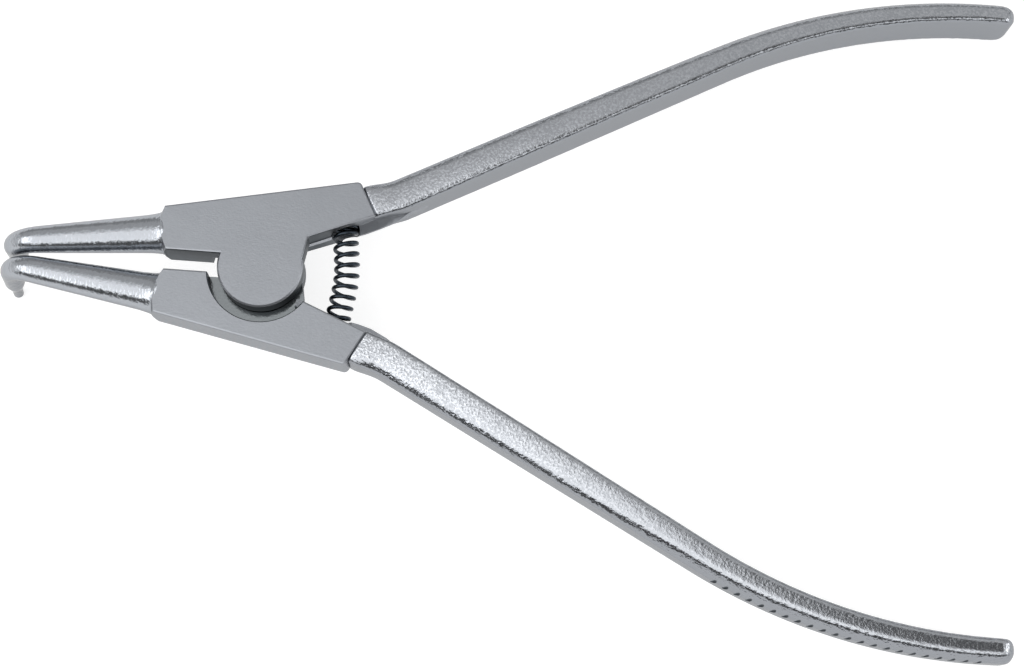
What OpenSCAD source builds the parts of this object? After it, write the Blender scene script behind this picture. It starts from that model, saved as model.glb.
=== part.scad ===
// Circlip pliers for external rings, with jaws bent down at their tips.
// Two forged levers are lapped at a round head, held by one rivet and pushed apart by a coil spring.
// X runs from the jaws to the handles and Z up out of the head's front face.
// The origin is on the pivot axis, at the back face of the head.

/* [Head] */
// Thickness of the lapped head
head_t = 7; // [5.5:0.1:9]
// Radius of the round lap of each lever
disc_r = 7.15; // [6:0.05:8]
// Open ring between a lap and the recess that it turns in
recess_gap = 1.8; // [1.5:0.05:2.5]
// How far the recess's centre lies off the pivot, into the block
recess_shift = 1.1; // [0.8:0.05:1.3]
// Running gap between the two lap faces
lap_gap = 0.1; // [0.05:0.05:0.3]
// Slot between the two jaw blocks at rest
slot_w = 3.3; // [2.5:0.1:5]
// Distance from the pivot to the front end of a jaw block
block_front_x = 17; // [15:0.1:20]
// Width of a jaw block at its front end
block_front_w = 7.3; // [6:0.1:9]
// Distance behind the pivot of the step where a handle begins
step_x = 17; // [15:0.05:20]
// Distance of that step from the tool's centre line
step_y = 12.95; // [11:0.05:15]
// Length of that step, across the handle
step_w = 6.6; // [6:0.1:8]
// Height of the corner where a lap runs into its block
neck_y = 5.5; // [4.5:0.1:6.5]
// How far the forged ridge around the spring's pocket stands out of the block's inner wall
ridge_out = 1.8; // [1.2:0.1:2.2]

/* [Jaws] */
// Ledge left around a jaw at the front of its block
jaw_ledge = 0.3; // [0.1:0.05:0.6]
// Length of the straight, tapered jaw
jaw_len = 20.9; // [16:0.1:26]
// Diameter of a jaw where its bend begins
jaw_end_d = 4.6; // [3.8:0.1:5.4]
// Gap between the two jaws where their bends begin
jaw_gap = 0.7; // [0.5:0.05:1.5]
// Radius of the bend, at the middle of the jaw
bend_r = 5; // [4:0.1:7]
// Angle through which a jaw is bent down
bend_angle = 83; // [70:1:90]
// Outward lean of the bent end, which keeps a ring from slipping off
tip_lean = 3.5; // [0:0.5:6]
// Diameter of a jaw where its bend ends
shank_d = 3.7; // [3:0.1:4.4]
// Length of the thick part of the bent end
shank_len = 5; // [3:0.1:8]
// Length of the taper down to the tip
taper_len = 4.2; // [2:0.1:6]
// Diameter of the tip that enters the ring's hole
tip_d = 1.8; // [1.2:0.1:2.3]
// Length of the cylindrical tip
tip_len = 2.8; // [2:0.1:4]

/* [Handles] */
// Angle of a handle's straight part to the centre line
handle_angle = 28.3; // [24:0.1:32]
// Height at which the line of the straight part crosses the pivot
handle_rise = 2.28; // [1.5:0.01:3.5]
// Distance from the pivot to the start of the handle's curve
curve_x = 75.8; // [65:0.1:85]
// Radius of the curve that brings the handle parallel to the centre line
curve_r = 99; // [80:1:110]
// Length of the straight end behind the curve
end_len = 4; // [2.5:0.1:10]
// Width of a handle at its root
handle_w_root = 5.9; // [5:0.1:6]
// Flare of a handle's outer side where it leaves the step
root_flare = 0.4; // [0.2:0.1:0.6]
// Width of a handle at its end
handle_w_end = 3.7; // [3.2:0.1:5]
// How far a handle's root stands proud of each face of the head
root_proud = 0.35; // [0.15:0.05:0.6]
// Swell of the grip over the root, on each face
grip_swell = 0.5; // [0:0.05:0.9]
// Distance from the pivot to where the grip's full height begins
grip_x = 46; // [35:1:60]
// Radius of the edges on the outer side, which lies in the hand
outer_edge_r = 1.5; // [1:0.1:1.6]
// Radius of the edges on the flat inner side
inner_edge_r = 0.7; // [0.3:0.1:1]
// Rounding of a handle's free end
end_r = 1.6; // [1:0.1:1.6]

/* [Rivet] */
// Diameter of the rivet's shank
rivet_d = 5; // [4:0.1:6]
// Diameter of the rivet's flush head
rivet_head_d = 8; // [7:0.1:10]
// Depth of the rivet's end in the front lap
rivet_depth = 2.4; // [1.5:0.1:2.5]
// Running clearance around the rivet, on the radius
rivet_clearance = 0.05; // [0.03:0.01:0.1]

/* [Spring] */
// Distance of the spring behind the pivot
spring_x = 13.4; // [12:0.1:14.5]
// Outside diameter of the spring
spring_od = 4.4; // [3.6:0.1:5]
// Diameter of the spring's wire
wire_d = 0.7; // [0.5:0.05:0.8]
// Coils that work as a spring
working_coils = 9; // [6:0.5:11]
// Closed coils at each end
closed_coils = 1; // [0.75:0.25:1.5]
// Depth of the drilled pocket that holds each end, behind the block's inner wall
pocket_depth = 1.5; // [1:0.1:2]
// Clearance of the spring in its pockets
pocket_clearance = 0.2; // [0.1:0.05:0.4]

/* [Hidden] */

ground_steel = "#a3a6aa";
plated_steel = "#c3c6ca";
blued_wire = "#23282d";

// Head
mid_z = head_t / 2;
recess_r = disc_r + recess_gap;
recess_mid = recess_shift * [0.39, 0.92];
lap_h = (head_t - lap_gap) / 2;
through = 1;
reach = 200;

// The step lies square to the handle.
along = [cos(handle_angle), sin(handle_angle)];
outward = [-sin(handle_angle), cos(handle_angle)];
step_mid = [step_x, step_y];
step_outer = step_mid + outward * step_w / 2;
step_inner = step_mid - outward * step_w / 2;
step_corner = 0.7;
neck_out = 0.45;
lap_bite = 0.5;
neck = [disc_r + neck_out, neck_y];
wall_len = norm(step_inner - neck);
wall_dir = (step_inner - neck) / wall_len;
wall_in = [wall_dir.y, -wall_dir.x];

// Ridge on the inner wall: its crest lies low at the neck and rises to the middle at the handle, where it fades out.
ridge_start = 0.9;
ridge_low = 0.72;
ridge_low_z = 1.1;
ridge_past = 3;
ridge_fade = 7.5;
ridge_sunk = 0.4;
ridge_flat = 0.3;
ridge_edge = 0.3;
ridge_bite = 0.1;
ridge_root = 1.2;

// The jaw axis leaves the middle of the block's front end.
jaw_base = [-block_front_x, slot_w / 2 + block_front_w / 2];
jaw_end_y = jaw_gap / 2 + jaw_end_d / 2;
jaw_turn = asin((jaw_base.y - jaw_end_y) / jaw_len);
jaw_base_w = block_front_w - 2 * jaw_ledge;
jaw_base_h = head_t - 2 * jaw_ledge;
jaw_sides = 24;
bend_steps = 8;
nose_edge = 0.05;
nose_d = min(head_t, block_front_w) - 2 * nose_edge;
flare_d = nose_d - 2 * nose_edge;
flare_len = 1.6;
flare_steps = 4;
bury = 1.5;
overlap = 0.1;
bend_lip = 0.03;
buried_share = 0.85;
nose_slope = 0.47;
nose_over = 1;
waist_share = 0.13;
tip_chamfer = 0.25;

// Handle path: a short rise out of the block, a straight part, a curve and a short straight end.
root_centre = step_mid - outward * (step_mid * outward - handle_rise * cos(handle_angle));
root_x = root_centre.x;
plug_shift = 0.9;
handle_end_x = curve_x + curve_r * sin(handle_angle) + end_len;
handle_h_root = head_t + 2 * root_proud;
handle_h_grip = handle_h_root + 2 * grip_swell;
root_len = 6;
shoulder_len = 0.35;
shoulder_ledge = 0.15;
end_sweep = 80;
edge_share = 0.45;
root_steps = 5;
straight_steps = 6;
curve_steps = 12;
end_steps = 5;
corner_steps = 4;

// Spring
spring_r = (spring_od - wire_d) / 2;
pocket_r = spring_od / 2 + pocket_clearance;
wall_slope = (step_inner.y - neck.y) / (step_inner.x - neck.x);
pocket_floor_y = neck.y + wall_slope * (spring_x - neck.x) + pocket_depth;
seat_gap = 0.05;
spring_len = 2 * (pocket_floor_y - seat_gap);
total_coils = working_coils + 2 * closed_coils;
coil_gap = 0.05;
closed_pitch = wire_d + coil_gap;
working_pitch = (spring_len - wire_d - 2 * closed_coils * closed_pitch) / working_coils;
wire_sides = 8;
coil_steps = 20;

$fn = 64;

function smooth(t) = let (c = min(1, max(0, t))) c * c * (3 - 2 * c);
function mix(a, b, t) = a + (b - a) * t;

// Skin over equal rings of points, closed at both ends.
module skin(rings) {
    n = len(rings[0]);
    m = len(rings);
    points = [for (ring = rings) each ring];
    sides = [for (i = [0 : m - 2], k = [0 : n - 1])
        let (a = i * n + k, b = i * n + (k + 1) % n)
        each [[a, a + n, b], [b, a + n, b + n]]];
    start = [[for (k = [0 : n - 1]) k]];
    finish = [[for (k = [n - 1 : -1 : 0]) (m - 1) * n + k]];
    polyhedron(points, concat(start, sides, finish), convexity = 10);
}

// Centre line of the upper handle, as a height and a slope over X.
function handle_slope(x) = x <= curve_x
    ? handle_angle
    : asin(max(0, sin(handle_angle) - (x - curve_x) / curve_r));
function handle_y(x) = handle_rise + tan(handle_angle) * min(x, curve_x)
    + curve_r * (cos(handle_slope(x)) - cos(handle_angle));
function handle_flare(x) = root_flare * (1 - smooth((x - root_x) / root_len));
function handle_w(x) = mix(handle_w_root, handle_w_end, (x - root_x) / (handle_end_x - root_x));
function handle_h(x) = mix(handle_h_root, handle_h_grip, smooth((x - root_x) / (grip_x - root_x)));
function end_inset(x) = let (d = max(0, end_r - (handle_end_x - x))) end_r - sqrt(end_r ^ 2 - d ^ 2);

// Section of a handle: large edges on the outer side, small ones on the flat inner side.
function handle_section(w, h) =
    let (ro = min(outer_edge_r, edge_share * w), ri = min(inner_edge_r, edge_share * w))
    [for (corner = [[1, 1, ro, 0], [-1, 1, ri, 90], [-1, -1, ri, 180], [1, -1, ro, 270]],
          k = [0 : corner_steps])
        let (r = corner[2], a = corner[3] + 90 * k / corner_steps)
        [corner.x * (w / 2 - r) + r * cos(a), corner.y * (h / 2 - r) + r * sin(a)]];

// A ring of a handle at x, moved along the handle or out to one side.
function handle_ring(x, w, h, shift = 0, side = 0) =
    let (slope = handle_slope(x), y = handle_y(x))
    [for (p = handle_section(w, h))
        let (q = p.x + side)
        [x + shift * along.x - q * sin(slope), y + shift * along.y + q * cos(slope), mid_z + p.y]];

function handle_ring_at(x) =
    let (inset = 2 * end_inset(x), flare = handle_flare(x))
    handle_ring(x, handle_w(x) + flare - inset, handle_h(x) - inset, 0, flare / 2);

module handle() {
    inside = [
        handle_ring(root_x, buried_share * handle_w_root, buried_share * head_t, -bury, plug_shift),
        handle_ring(root_x, handle_w_root - 2 * shoulder_ledge, head_t - 2 * shoulder_ledge, -overlap)
    ];
    root = [for (k = [0 : root_steps]) root_x + shoulder_len + (root_len - shoulder_len) * k / root_steps];
    straight = [for (k = [1 : straight_steps])
        mix(root_x + root_len, curve_x, k / straight_steps)];
    curve = [for (k = [1 : curve_steps])
        curve_x + curve_r * (sin(handle_angle) - sin(handle_angle * (1 - k / curve_steps)))];
    end = [for (k = [0 : end_steps]) handle_end_x - end_r * (1 - sin(end_sweep * k / end_steps))];
    skin(concat(inside, [for (x = concat(root, straight, curve, end)) handle_ring_at(x)]));
}

// One ring of a jaw, square to its path, at a place along the jaw axis and below it.
function jaw_ring(s, drop, turn, w, h) =
    [for (k = [0 : jaw_sides - 1])
        let (a = 360 * k / jaw_sides, y = w / 2 * cos(a), z = h / 2 * sin(a))
        [s + z * sin(turn), y, z * cos(turn) - drop]];

// Concave flare from the tapered jaw out to the round nose of its block.
function flare(s) = let (t = min(1, max(0, 1 - s / flare_len))) 1 - sqrt(1 - t * t);
function jaw_w(s) = mix(mix(jaw_base_w, jaw_end_d, s / jaw_len), flare_d, flare(s));
function jaw_h(s) = mix(mix(jaw_base_h, jaw_end_d, s / jaw_len), flare_d, flare(s));

// Moves its children from the jaw's own axis to the front of the upper block.
module on_jaw_axis() {
    translate([jaw_base.x, jaw_base.y, mid_z])
        rotate([0, 0, 180 + jaw_turn])
            rotate([-tip_lean, 0, 0])
                children();
}

// Places its children at the end of the bend, with Z along the bent end.
module on_bent_end() {
    translate([jaw_len + bend_r * sin(bend_angle), 0, -bend_r * (1 - cos(bend_angle))])
        rotate([0, 90 + bend_angle, 0])
            children();
}

module jaw() {
    on_jaw_axis() {
        root = [jaw_ring(-bury, 0, 0, buried_share * jaw_base_w, buried_share * jaw_base_h)];
        cone = [for (s = [-overlap, for (k = [1 : flare_steps]) flare_len * k / flare_steps])
            jaw_ring(s, 0, 0, jaw_w(s), jaw_h(s))];
        bend = [for (k = [0 : bend_steps])
            let (turn = bend_angle * k / bend_steps, d = mix(jaw_end_d, shank_d + 2 * bend_lip, k / bend_steps))
            jaw_ring(jaw_len + bend_r * sin(turn), bend_r * (1 - cos(turn)), turn, d, d)];
        skin(concat(root, cone, bend));
        on_bent_end() {
            waist_d = mix(shank_d, tip_d, waist_share);
            translate([0, 0, -overlap])
                cylinder(h = shank_len + overlap, d1 = shank_d, d2 = waist_d);
            translate([0, 0, shank_len])
                cylinder(h = taper_len, d1 = waist_d, d2 = tip_d);
            translate([0, 0, shank_len + taper_len])
                cylinder(h = tip_len, d = tip_d);
            translate([0, 0, shank_len + taper_len + tip_len])
                cylinder(h = tip_chamfer, d1 = tip_d, d2 = tip_d - 2 * tip_chamfer);
        }
    }
}

// Plan of the upper block, with its round lap left off.
module block_plan() {
    front_x = -block_front_x - nose_over;
    front_outer = [front_x, slot_w / 2 + block_front_w];
    side = front_outer - step_outer;
    polygon([
        front_outer,
        step_outer + side * step_corner / norm(side),
        step_outer - outward * step_corner,
        step_inner,
        neck,
        [disc_r - lap_bite, 0],
        [0, slot_w / 2],
        [front_x, slot_w / 2]
    ]);
}

// The block at full thickness, its front end turned to a blunt cone around the jaw axis.
module block() {
    intersection() {
        linear_extrude(height = head_t)
            block_plan();
        on_jaw_axis()
            rotate([0, -90, 0])
                cylinder(h = reach, d1 = nose_d, d2 = nose_d + 2 * reach / nose_slope);
    }
}

// One ring of the ridge: sloped from the wall's upper edge down to a narrow crest, and sloped back below it.
function ridge_ring(s, out, crest_z) =
    let (b = neck + wall_dir * s,
         near = b - wall_in * ridge_bite, deep = b - wall_in * ridge_root, far = b + wall_in * out)
    [[deep.x, deep.y, head_t - ridge_root], [near.x, near.y, head_t - ridge_edge],
     [far.x, far.y, crest_z + ridge_flat], [far.x, far.y, crest_z - ridge_flat],
     [near.x, near.y, ridge_edge], [deep.x, deep.y, ridge_root]];

module pocket_ridge() {
    skin([
        ridge_ring(ridge_start, ridge_low * ridge_out, ridge_low_z),
        ridge_ring(wall_len / 3, ridge_low * ridge_out, ridge_low_z),
        ridge_ring(wall_len, ridge_out, mid_z),
        ridge_ring(wall_len + ridge_past, ridge_out, mid_z),
        ridge_ring(wall_len + ridge_fade, ridge_sunk, mid_z)
    ]);
}

// Upper lever's solid. The lap is its front half, or its back half for the lower lever.
module lever(front_lap) {
    lap_z = front_lap ? head_t - lap_h : 0;
    recess_z = front_lap ? -through : lap_h;
    difference() {
        union() {
            difference() {
                block();
                translate([recess_mid.x, recess_mid.y, recess_z])
                    cylinder(h = head_t - lap_h + through, r = recess_r);
            }
            translate([0, 0, lap_z])
                cylinder(h = lap_h, r = disc_r);
            handle();
            jaw();
            pocket_ridge();
        }
        spring_pocket();
    }
}

module spring_pocket() {
    translate([spring_x, 0, mid_z])
        rotate([-90, 0, 0])
            cylinder(h = pocket_floor_y, r = pocket_r);
}

module upper_lever() {
    color(plated_steel)
        difference() {
            lever(front_lap = true);
            cylinder(h = head_t - lap_h + rivet_depth, d = rivet_d);
        }
}

module lower_lever() {
    bore_d = rivet_d + 2 * rivet_clearance;
    color(plated_steel)
        difference() {
            mirror([0, 1, 0])
                lever(front_lap = false);
            translate([0, 0, -through])
                cylinder(h = head_t, d = bore_d);
            rivet_countersink(rivet_clearance);
        }
}

// Flush countersunk head, grown by a clearance for the seat that it turns in.
module rivet_countersink(clearance) {
    head_h = (rivet_head_d - rivet_d) / 2;
    cylinder(h = head_h, d1 = rivet_head_d + 2 * clearance, d2 = rivet_d + 2 * clearance);
}

module pivot_rivet() {
    color(ground_steel) {
        cylinder(h = head_t - lap_h + rivet_depth, d = rivet_d);
        rivet_countersink(0);
    }
}

// Height of the wire along the spring after a number of turns: closed, working, closed.
function coil_height(turn) =
    closed_pitch * min(turn, closed_coils)
    + working_pitch * min(working_coils, max(0, turn - closed_coils))
    + closed_pitch * max(0, turn - closed_coils - working_coils);

function wire_ring(turn) =
    let (a = 360 * turn)
    [for (k = [0 : wire_sides - 1])
        let (b = 360 * k / wire_sides, r = spring_r + wire_d / 2 * cos(b))
        [r * cos(a), r * sin(a), coil_height(turn) - wire_d / 2 * sin(b)]];

module return_spring() {
    steps = ceil(total_coils * coil_steps);
    color(blued_wire)
        translate([spring_x, -spring_len / 2 + wire_d / 2, mid_z])
            rotate([-90, 0, 0])
                mirror([1, 0, 0])
                    skin([for (k = [0 : steps]) wire_ring(total_coils * k / steps)]);
}

upper_lever();
lower_lever();
pivot_rivet();
return_spring();
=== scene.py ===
import math

import bmesh
import bpy
from mathutils import Euler, Matrix, Vector, noise


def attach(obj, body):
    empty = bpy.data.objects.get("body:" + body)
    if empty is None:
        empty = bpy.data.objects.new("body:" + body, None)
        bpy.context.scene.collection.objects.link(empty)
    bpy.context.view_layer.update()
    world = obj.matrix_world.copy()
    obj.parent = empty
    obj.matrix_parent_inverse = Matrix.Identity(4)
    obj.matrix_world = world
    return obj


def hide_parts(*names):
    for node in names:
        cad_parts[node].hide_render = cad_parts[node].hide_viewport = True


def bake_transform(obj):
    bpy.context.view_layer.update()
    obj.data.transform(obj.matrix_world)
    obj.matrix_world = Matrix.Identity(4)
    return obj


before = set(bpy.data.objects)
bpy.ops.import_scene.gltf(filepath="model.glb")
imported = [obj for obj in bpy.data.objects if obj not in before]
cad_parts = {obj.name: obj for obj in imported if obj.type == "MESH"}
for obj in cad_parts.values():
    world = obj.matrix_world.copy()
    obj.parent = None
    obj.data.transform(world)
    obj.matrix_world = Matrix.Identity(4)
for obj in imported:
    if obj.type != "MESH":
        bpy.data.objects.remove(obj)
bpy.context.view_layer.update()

# Levers
# Two drop-forged steel levers, each one piece from tip to handle end, nickel plated all over.
# The flat head is ground, the jaw is polished round, and the handle keeps its forged skin.

MM = 0.001


def linear(code):
    """Linear colour of an sRGB hex code."""
    parts = [int(code[i:i + 2], 16) / 255 for i in (1, 3, 5)]
    return [p / 12.92 if p <= 0.04045 else ((p + 0.055) / 1.055) ** 2.4 for p in parts] + [1.0]


def add(tree, kind, feeds=None, **settings):
    """Adds a node, sets it up, and feeds its sockets with links or values."""
    made = tree.nodes.new(kind)
    for name, value in settings.items():
        setattr(made, name, value)
    for socket, source in (feeds or {}).items():
        if isinstance(source, bpy.types.NodeSocket):
            tree.links.new(source, made.inputs[socket])
        else:
            made.inputs[socket].default_value = source
    return made


def new_material(name):
    """An empty node material and its tree."""
    made = bpy.data.materials.new(name)
    made.use_nodes = True
    made.node_tree.nodes.clear()
    return made, made.node_tree


# A Mix node has sockets for every kind of data. These are its two colours and the colour that comes out.
COLOUR_A, COLOUR_B, COLOUR_OUT = 6, 7, 2

# The plating's colour where it is seen at a flat angle.
EDGE_TINT = linear("#DDDDDD")

# Ground nickel: a fine surface-grinder grain that scatters the light to an even satin grey.
# The real grain is too fine to show, so it is drawn coarser.
ground_nickel, tree = new_material("ground_nickel")
GRIND_MM, GRIND_DEPTH, CLOUD_MM = 0.3, 0.035, 6.0
place = add(tree, "ShaderNodeTexCoord").outputs["Object"]
drawn_out = add(tree, "ShaderNodeMapping", {"Vector": place, "Scale": (0.6, 1.0, 1.0)}).outputs[0]
grain = add(tree, "ShaderNodeTexNoise", {
    "Vector": drawn_out, "Scale": 1 / (GRIND_MM * MM), "Detail": 3.0, "Roughness": 0.6}).outputs["Fac"]
cloud = add(tree, "ShaderNodeTexNoise", {
    "Vector": place, "Scale": 1 / (CLOUD_MM * MM), "Detail": 2.0}).outputs["Fac"]
tint = add(tree, "ShaderNodeMix", {
    "Factor": cloud, COLOUR_A: linear("#92959A"), COLOUR_B: linear("#999CA1")},
    data_type="RGBA").outputs[COLOUR_OUT]
satin = add(tree, "ShaderNodeMapRange", {
    "Value": grain, "From Min": 0.3, "From Max": 0.7, "To Min": 0.32, "To Max": 0.42}).outputs[0]
dents = add(tree, "ShaderNodeBump", {
    "Height": grain, "Strength": 0.8, "Distance": GRIND_DEPTH * MM}).outputs[0]
surface = add(tree, "ShaderNodeBsdfPrincipled", {
    "Base Color": tint, "Specular Tint": EDGE_TINT, "Metallic": 1.0, "Roughness": satin, "Normal": dents})
add(tree, "ShaderNodeOutputMaterial", {"Surface": surface.outputs[0]})

# Forged nickel: plating over the skin of the forging. The flats are frosted near the head, with painted
# glints:
# specks of a near-white colour that flash white, fainter on the upper lever. The flats are worn smooth in the
# grip. The edges are rubbed bright, and the sides are an even satin, with a painted shade: a darker colour.
forged_nickel, tree = new_material("forged_nickel")
SKIN_MM, SKIN_DEPTH, DING_MM, DING_DEPTH, PATCH_MM = 0.4, 0.13, 0.8, 0.2, 3.0
WEAR_FROM, WEAR_TO, MIDLINE_BAND = 26.0, 70.0, 1.0
FINISH_STOPS = ((0.0, 0.34), (0.25, 0.22), (0.7, 0.16), (0.97, 0.18))
place = add(tree, "ShaderNodeTexCoord").outputs["Object"]
spots = add(tree, "ShaderNodeSeparateXYZ", {"Vector": place}).outputs
facing = add(tree, "ShaderNodeNewGeometry").outputs["Normal"]
upright = add(tree, "ShaderNodeMath", {
    0: add(tree, "ShaderNodeSeparateXYZ", {"Vector": facing}).outputs["Z"]}, operation="ABSOLUTE").outputs[0]
flat_part = add(tree, "ShaderNodeMapRange", {
    "Value": upright, "From Min": 0.9, "From Max": 0.975}, interpolation_type="SMOOTHSTEP").outputs[0]
upper_share = add(tree, "ShaderNodeMapRange", {
    "Value": spots["Y"], "From Min": -MIDLINE_BAND * MM, "From Max": MIDLINE_BAND * MM,
    "To Min": 1.0, "To Max": 0.5}).outputs[0]
unworn = add(tree, "ShaderNodeMapRange", {
    "Value": spots["X"], "From Min": WEAR_FROM * MM, "From Max": WEAR_TO * MM,
    "To Min": upper_share, "To Max": 0.3}).outputs[0]
skin_grain = add(tree, "ShaderNodeTexNoise", {
    "Vector": place, "Scale": 1 / (SKIN_MM * MM), "Detail": 2.5, "Roughness": 0.55}).outputs["Fac"]
patches = add(tree, "ShaderNodeTexNoise", {
    "Vector": place, "Scale": 1 / (PATCH_MM * MM), "Detail": 2.0}).outputs["Fac"]
off_sides = add(tree, "ShaderNodeMapRange", {
    "Value": upright, "From Min": 0.15, "From Max": 0.45}, interpolation_type="SMOOTHSTEP").outputs[0]
off_flats = add(tree, "ShaderNodeMapRange", {
    "Value": flat_part, "To Min": 0.8, "To Max": 0.15}).outputs[0]
edge_part = add(tree, "ShaderNodeMath", {0: off_sides, 1: off_flats}, operation="MULTIPLY").outputs[0]
grainy = add(tree, "ShaderNodeMath", {0: flat_part, 1: unworn}, operation="MULTIPLY").outputs[0]
# Painted glints: the grain's high spots on the flats get a near-white colour that flashes white.
painted_glint_specks = add(tree, "ShaderNodeMapRange", {
    "Value": skin_grain, "From Min": 0.4, "From Max": 0.64, "To Max": grainy},
    interpolation_type="SMOOTHSTEP").outputs[0]
worn_tint = add(tree, "ShaderNodeMix", {
    "Factor": patches, COLOUR_A: linear("#A0A3A8"), COLOUR_B: linear("#AEB1B6")},
    data_type="RGBA").outputs[COLOUR_OUT]
flat_tint = add(tree, "ShaderNodeMix", {
    "Factor": painted_glint_specks, COLOUR_A: worn_tint, COLOUR_B: linear("#D2D5DA")},
    data_type="RGBA").outputs[COLOUR_OUT]
# Painted shade on the sides: they get a darker colour than the flats.
clear_of_side_shade = add(tree, "ShaderNodeMapRange", {
    "Value": upright, "From Min": 0.82, "From Max": 0.9}, interpolation_type="SMOOTHSTEP").outputs[0]
tint = add(tree, "ShaderNodeMix", {
    "Factor": clear_of_side_shade, COLOUR_A: linear("#92959A"), COLOUR_B: flat_tint},
    data_type="RGBA").outputs[COLOUR_OUT]
finish = add(tree, "ShaderNodeValToRGB", {"Fac": upright})
while len(finish.color_ramp.elements) < len(FINISH_STOPS):
    finish.color_ramp.elements.new(0.5)
for stop, (at, value) in zip(finish.color_ramp.elements, FINISH_STOPS):
    stop.position, stop.color = at, (value, value, value, 1.0)
gloss = add(tree, "ShaderNodeMath", {
    0: grainy, 1: 0.04, 2: finish.outputs["Color"]}, operation="MULTIPLY_ADD").outputs[0]
dings = add(tree, "ShaderNodeTexNoise", {
    "Vector": place, "Scale": 1 / (DING_MM * MM), "Detail": 2.0, "Roughness": 0.6}).outputs["Fac"]
knocked = add(tree, "ShaderNodeBump", {
    "Height": dings, "Strength": edge_part, "Distance": DING_DEPTH * MM}).outputs[0]
dents = add(tree, "ShaderNodeBump", {
    "Height": skin_grain, "Strength": grainy, "Distance": SKIN_DEPTH * MM, "Normal": knocked}).outputs[0]
surface = add(tree, "ShaderNodeBsdfPrincipled", {
    "Base Color": tint, "Specular Tint": EDGE_TINT, "Metallic": 1.0, "Roughness": gloss, "Normal": dents})
add(tree, "ShaderNodeOutputMaterial", {"Surface": surface.outputs[0]})

# Polished nickel: the jaw is buffed round and round, so fine marks break up the edges of its highlights.
# They are drawn coarse enough to show. Underneath, the jaw has a painted shade: a darker colour.
polished_nickel, tree = new_material("polished_nickel")
BUFF_MM, BUFF_DEPTH = 0.4, 0.08
place = add(tree, "ShaderNodeTexCoord").outputs["Object"]
facing = add(tree, "ShaderNodeNewGeometry").outputs["Normal"]
upward = add(tree, "ShaderNodeMapRange", {
    "Value": add(tree, "ShaderNodeSeparateXYZ", {"Vector": facing}).outputs["Z"],
    "From Min": -0.1, "From Max": 0.4}).outputs[0]
drawn_out = add(tree, "ShaderNodeMapping", {"Vector": place, "Scale": (1.0, 0.55, 0.55)}).outputs[0]
marks = add(tree, "ShaderNodeTexNoise", {
    "Vector": drawn_out, "Scale": 1 / (BUFF_MM * MM), "Detail": 2.0, "Roughness": 0.5}).outputs["Fac"]
gloss = add(tree, "ShaderNodeMapRange", {
    "Value": marks, "From Min": 0.3, "From Max": 0.7, "To Min": 0.15, "To Max": 0.23}).outputs[0]
bright = add(tree, "ShaderNodeMix", {
    "Factor": marks, COLOUR_A: linear("#9CA0A5"), COLOUR_B: linear("#A8ABB0")},
    data_type="RGBA").outputs[COLOUR_OUT]
# Painted shade: faces that look down get a darker colour than the top.
tint = add(tree, "ShaderNodeMix", {
    "Factor": upward, COLOUR_A: linear("#84878C"), COLOUR_B: bright},
    data_type="RGBA").outputs[COLOUR_OUT]
dents = add(tree, "ShaderNodeBump", {
    "Height": marks, "Strength": 1.0, "Distance": BUFF_DEPTH * MM}).outputs[0]
surface = add(tree, "ShaderNodeBsdfPrincipled", {
    "Base Color": tint, "Specular Tint": EDGE_TINT, "Metallic": 1.0, "Roughness": gloss, "Normal": dents})
add(tree, "ShaderNodeOutputMaterial", {"Surface": surface.outputs[0]})

# Dull nickel: the slot, the recess's wall, the lap's side, the spring's pocket and the nicks in the grip are
# matt,
# with a painted shade: a dark colour for the shade in them. It turns lighter along the inner wall, towards
# the handle.
shaded_dull_nickel, tree = new_material("shaded_dull_nickel")
LIGHTER_FROM, LIGHTER_TO, NICKS_FROM, NICKS_TO, DULL_CLOUD_MM = 8.0, 18.0, 40.0, 50.0, 1.5
place = add(tree, "ShaderNodeTexCoord").outputs["Object"]
along_x = add(tree, "ShaderNodeSeparateXYZ", {"Vector": place}).outputs["X"]
past_spring = add(tree, "ShaderNodeMapRange", {
    "Value": along_x, "From Min": LIGHTER_FROM * MM, "From Max": LIGHTER_TO * MM},
    interpolation_type="SMOOTHSTEP").outputs[0]
short_of_grip = add(tree, "ShaderNodeMapRange", {
    "Value": along_x, "From Min": NICKS_FROM * MM, "From Max": NICKS_TO * MM,
    "To Min": 1.0, "To Max": 0.0}).outputs[0]
open_part = add(tree, "ShaderNodeMath", {0: past_spring, 1: short_of_grip}, operation="MULTIPLY").outputs[0]
cloud = add(tree, "ShaderNodeTexNoise", {
    "Vector": place, "Scale": 1 / (DULL_CLOUD_MM * MM), "Detail": 3.0}).outputs["Fac"]
# The painted shade's dark colour, clouded.
dark = add(tree, "ShaderNodeMix", {
    "Factor": cloud, COLOUR_A: linear("#4A4F53"), COLOUR_B: linear("#5D6267")},
    data_type="RGBA").outputs[COLOUR_OUT]
# Between the spring and the grip, the painted shade gives way to a lighter colour.
tint = add(tree, "ShaderNodeMix", {
    "Factor": open_part, COLOUR_A: dark, COLOUR_B: linear("#9DA0A5")},
    data_type="RGBA").outputs[COLOUR_OUT]
surface = add(tree, "ShaderNodeBsdfPrincipled", {
    "Base Color": tint, "Specular Tint": EDGE_TINT, "Metallic": 1.0, "Roughness": 0.42})
add(tree, "ShaderNodeOutputMaterial", {"Surface": surface.outputs[0]})

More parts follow.
